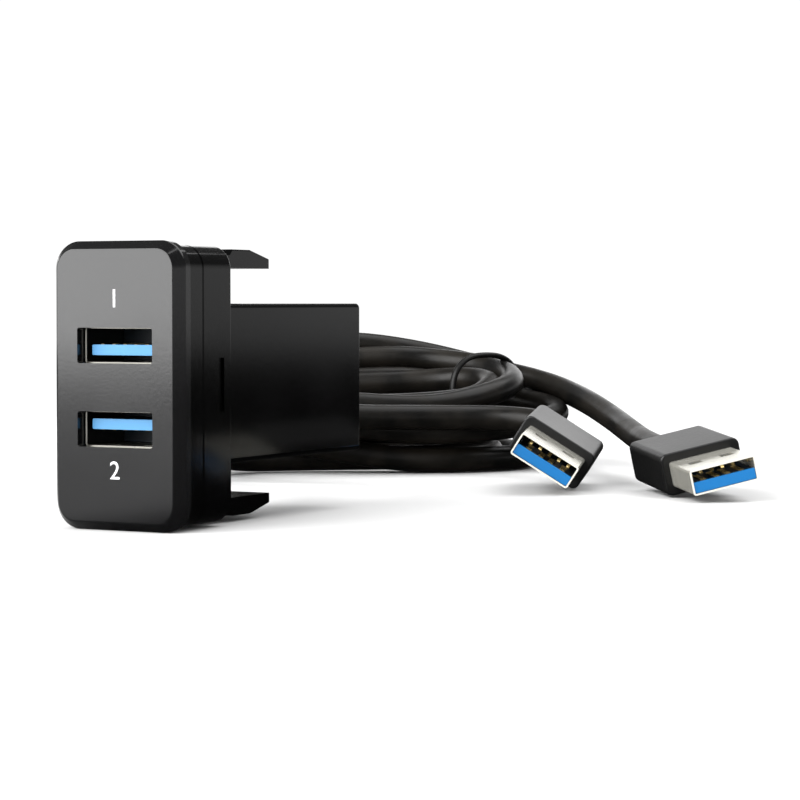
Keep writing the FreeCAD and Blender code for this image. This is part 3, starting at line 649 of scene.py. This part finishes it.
class ADAPTER_OT_finishes(bpy.types.Operator):
    """Gives each solid of the part its finish"""

    bl_idname = "adapter.finishes"
    bl_label = "Finishes"

    def execute(self, context):
        colours = context.scene.adapter_colours
        materials = finishes(colours)
        own = {}
        for number in PLUG_PLACES:
            tip = Vector(plug_point(number, 0.0))
            face = Vector(plug_point(number, INSERT_BACK))
            inward = (Vector(plug_point(number, INSERT_BACK + 1.0)) - face).normalized()
            # Painted highlight on each plug sleeve's rim, and painted shade on its insert behind the front
            # face
            own["plug_%d_shell" % number] = painted_rim_highlight("plug_%d_steel" % number, colours.steel, tip, inward)
            own["plug_%d_insert" % number] = blue_with_painted_shade("plug_%d_blue" % number, colours.blue, face, inward)
            # Contacts in the sockets take the gold with painted shade
            own["port_%d_contacts" % number] = materials["contact_painted_shade"]
        for row in frame["record"]["subparts"]:
            obj = frame["nodes"][row["node"]]
            obj.data.materials.clear()
            obj.data.materials.append(own.get(row["node"]) or materials[row["material_slot"]])
        return {"FINISHED"}


class ADAPTER_OT_tie(bpy.types.Operator):
    """Makes the wire tie round the hank's folds"""

    bl_idname = "adapter.tie"
    bl_label = "Wire tie"

    def execute(self, context):
        sizes = context.scene.adapter_sizes
        along = Vector(hank_point(TIE_TO + (0.0,))) - Vector(hank_point(TIE_FROM + (0.0,)))
        across = np.array([-along.y, along.x, 0.0]) / along.length
        points, faces = tube_grid(tie_path(), across, sizes.tie_wide / 2, sizes.tie_thick / 2, TIE_SIDES)
        obj = add_mesh("wire_tie_loop", points, faces, bpy.data.materials["tie_skin"], "tie_wire")
        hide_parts("wire_tie")
        return {"FINISHED"}


class ADAPTER_OT_leads(bpy.types.Operator):
    """Lays both leads as one open curve each, from boot to plug"""

    bl_idname = "adapter.leads"
    bl_label = "Leads"

    def execute(self, context):
        thick = context.scene.adapter_sizes.lead
        for number in (1, 2):
            points = lead_points(number)
            name = "lead_%d" % number
            curve = bpy.data.curves.new(name, "CURVE")
            curve.dimensions = "3D"
            curve.bevel_depth = thick / 2
            curve.bevel_resolution = LEAD_ROUND
            curve.resolution_u = LEAD_STEPS
            curve.use_fill_caps = True
            spline = curve.splines.new("NURBS")
            spline.points.add(len(points) - 1)
            spline.points.foreach_set("co", np.c_[points, np.ones(len(points))].ravel())
            spline.order_u = 3
            spline.use_endpoint_u = True
            obj = add_object(name, curve, bpy.data.materials["lead_skin"], "cable_jacket")
            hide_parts(*("cable_%d_%s" % (number, part) for part in ("in", "hank", "out")))
            pieces = ["cable_boot_%d" % number]
            pieces += ["plug_%d_%s" % (number, part) for part in ("grip", "shell", "insert", "contacts")]
            if number == 2:
                pieces.append("wire_tie_loop")
        return {"FINISHED"}


class ADAPTER_OT_numerals(bpy.types.Operator):
    """Prints a plain numeral above and below the sockets"""

    bl_idname = "adapter.numerals"
    bl_label = "Numerals"

    def execute(self, context):
        height = context.scene.adapter_sizes.numeral
        material = printed("numeral_ink", context.scene.adapter_colours.ink)
        for name, (text, middle) in NUMERALS.items():
            curve = bpy.data.curves.new(name, "FONT")
            curve.body = text
            curve.extrude = NUMERAL_DEEP
            glyph = bpy.data.objects.new(name + "_text", curve)
            context.scene.collection.objects.link(glyph)
            context.view_layer.update()
            mesh = bpy.data.meshes.new_from_object(glyph.evaluated_get(context.evaluated_depsgraph_get()))
            bpy.data.objects.remove(glyph)
            points = np.empty(len(mesh.vertices) * 3)
            mesh.vertices.foreach_get("co", points)
            points = points.reshape(-1, 3)
            low, high = points.min(axis=0), points.max(axis=0)
            flat = (points - (low + high) / 2) * (height / (high[1] - low[1]))
            proud = np.sign(flat[:, 2]) * NUMERAL_PROUD * MM
            placed = np.stack([flat[:, 0], PLATE_FRONT * MM - proud, flat[:, 1] + middle * MM], axis=1)
            mesh.vertices.foreach_set("co", placed.ravel())
            mesh.name = name
            mesh.materials.clear()
            add_object(name, mesh, material, "plate_plastic")
        return {"FINISHED"}


class ADAPTER_OT_stage(bpy.types.Operator):
    """Sets the floor, the lights, the surroundings and the camera"""

    bl_idname = "adapter.stage"
    bl_label = "Stage"

    def execute(self, context):
        props = context.scene.adapter_stage
        half = FLOOR_HALF
        corners = [(-half, -half, 0.0), (half, -half, 0.0), (half, half, 0.0), (-half, half, 0.0)]
        floor = add_mesh("floor", corners, [(0, 1, 2, 3)], floor_material("floor", props.floor), smooth=False)
        lights = [
            area_light("key_panel", props.key, *KEY_PANEL),
            area_light("top_panel", props.top, *TOP_PANEL),
            area_light("back_panel", props.back, *BACK_PANEL),
        ]
        world = bpy.data.worlds.new("surroundings")
        world.use_nodes = True
        graph = Graph(world.node_tree)
        seen = graph.ray("Camera")
        mirrored = graph.ray("Glossy")
        toward = graph.add("ShaderNodeTexCoord", output="Generated")
        band = 1.0 - graph.part(toward, "Z").ramp(*BAND_TOP)
        extra = mirrored * (OVERHEAD_SHINE + band * BAND_SHINE - props.sky)
        strength = seen * WHITE_SHINE + (1.0 - seen) * (props.sky + extra)
        sky = graph.add("ShaderNodeBackground", {}, {"Color": WHITE, "Strength": strength})
        graph.add("ShaderNodeOutputWorld", {}, {"Surface": sky})
        context.scene.world = world
        camera = bpy.data.cameras.new("camera")
        camera.lens = CAMERA_LENS
        camera.sensor_width = CAMERA_SENSOR
        eye = add_object("camera", camera)
        eye.location = CAMERA_PLACE
        eye.rotation_euler = [math.radians(angle) for angle in CAMERA_TURN]
        context.scene.camera = eye
        context.scene.view_settings.view_transform = "Standard"
        return {"FINISHED"}


def area_light(name, power, size, place, target):
    """Oblong light panel at a place, turned to face a point and hidden from the camera."""
    light = bpy.data.lights.new(name, "AREA")
    light.shape = "RECTANGLE"
    light.size, light.size_y = size
    light.energy = power
    obj = add_object(name, light)
    obj.location = place
    obj.rotation_euler = (Vector(target) - Vector(place)).to_track_quat("-Z", "Y").to_euler()
    obj.visible_camera = False
    return obj


class ADAPTER_PT_panel(bpy.types.Panel):
    """Lists the steps in order, with their sizes and colours"""

    bl_label = "Panel adapter"
    bl_space_type = "VIEW_3D"
    bl_region_type = "UI"
    bl_category = "Adapter"

    def draw(self, context):
        for group_name in GROUPS:
            group = getattr(context.scene, group_name)
            for name in group.bl_rna.properties.keys():
                if name not in ("rna_type", "name"):
                    self.layout.prop(group, name)
        for step in STEPS:
            self.layout.operator(step.bl_idname)


GROUPS = {"adapter_sizes": AdapterSizes, "adapter_colours": AdapterColours, "adapter_stage": AdapterStage}
STEPS = (ADAPTER_OT_finishes, ADAPTER_OT_tie, ADAPTER_OT_leads, ADAPTER_OT_numerals, ADAPTER_OT_stage)


def register():
    for name, group in GROUPS.items():
        bpy.utils.register_class(group)
        setattr(bpy.types.Scene, name, PointerProperty(type=group))
    for item in STEPS + (ADAPTER_PT_panel,):
        bpy.utils.register_class(item)


def unregister():
    for item in reversed(STEPS + (ADAPTER_PT_panel,)):
        bpy.utils.unregister_class(item)
    for name, group in GROUPS.items():
        delattr(bpy.types.Scene, name)
        bpy.utils.unregister_class(group)


def main():
    register()
    bpy.ops.adapter.finishes()
    bpy.ops.adapter.tie()
    bpy.ops.adapter.leads()
    bpy.ops.adapter.numerals()
    bpy.ops.adapter.stage()


if __name__ == "__main__":
    main()
